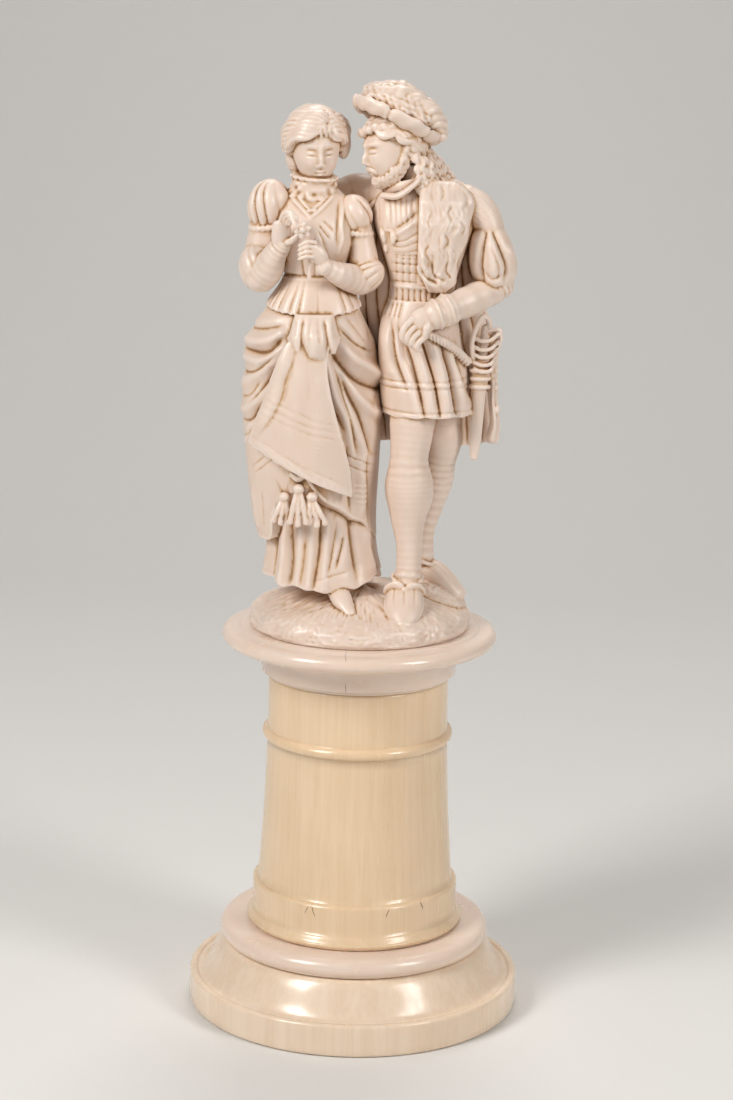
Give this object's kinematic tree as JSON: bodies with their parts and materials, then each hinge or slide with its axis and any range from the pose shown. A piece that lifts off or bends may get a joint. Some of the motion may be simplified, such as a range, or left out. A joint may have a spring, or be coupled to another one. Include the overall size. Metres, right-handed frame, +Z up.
{
  "type": "ivory figurine on a column",
  "caption": "Carved ivory group of a lady plucking a flower and a gentleman in beret and fur trimmed coat, standing on a turned column with a stepped round foot.",
  "frame": {"origin": "centre of the plinth's underside, on the column's axis", "axes": "+Z up the column; the figures face -Y"},
  "size_m": [0.104, 0.104, 0.2889],
  "materials": {
    "carved_ivory": "hand carved ivory, softly polished",
    "cap_ivory": "turned ivory, polished",
    "drum_ivory": "turned ivory, polished, fine upright grain",
    "ring_ivory": "turned ivory, polished",
    "plinth_ivory": "turned ivory, polished, yellowed rim"
  },
  "bodies": {
    "root": {"couple_group": "carved_ivory", "cap": "cap_ivory", "drum": "drum_ivory", "base_ring": "ring_ivory", "base_plinth": "plinth_ivory"}
  },
  "joints": []
}
